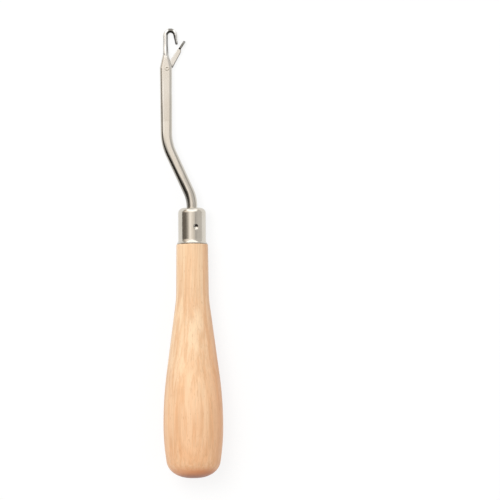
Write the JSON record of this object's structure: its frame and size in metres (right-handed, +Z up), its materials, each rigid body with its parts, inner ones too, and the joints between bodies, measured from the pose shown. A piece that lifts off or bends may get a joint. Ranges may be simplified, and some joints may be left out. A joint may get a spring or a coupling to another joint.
{
  "type": "latch hook",
  "caption": "Latch hook for rug yarn: turned wooden handle, metal ferrule, cranked steel shank with a slotted hook, and a small latch swinging on a rivet.",
  "frame": {"origin": "middle of the bounding box at table height: the hook lies on its side, as in the picture, on the handle's belly and the hook's bow", "axes": "+Y along the tool, from the butt towards the hook; +X to the side on which the hook opens; +Z up from the table. The tool's own axis dips 4.13 degrees below +Y towards the hook."},
  "size_m": [0.0224, 0.1648, 0.0224],
  "materials": {
    "wood": "fine sanded pale wood, clear satin coat",
    "nickel_ferrule": "bright nickel plate",
    "nickel_steel": "nickel plate over drawn steel",
    "latch_steel": "nickel plate, slightly dull",
    "rivet_steel": "bare steel, riveted flush"
  },
  "bodies": {
    "hook_body": {"handle": "wood", "ferrule": "nickel_ferrule", "shank": "nickel_steel", "latch_rivet": "rivet_steel"},
    "latch_body": {"latch": "latch_steel"}
  },
  "joints": [
    {"name": "latch_pivot", "type": "hinge", "parent": "hook_body", "child": "latch_body", "pos_m": [-0.00854, 0.06789, 0.00184], "axis": [0, -0.0721, -0.9974], "range_deg": [-8, 130]}
  ]
}
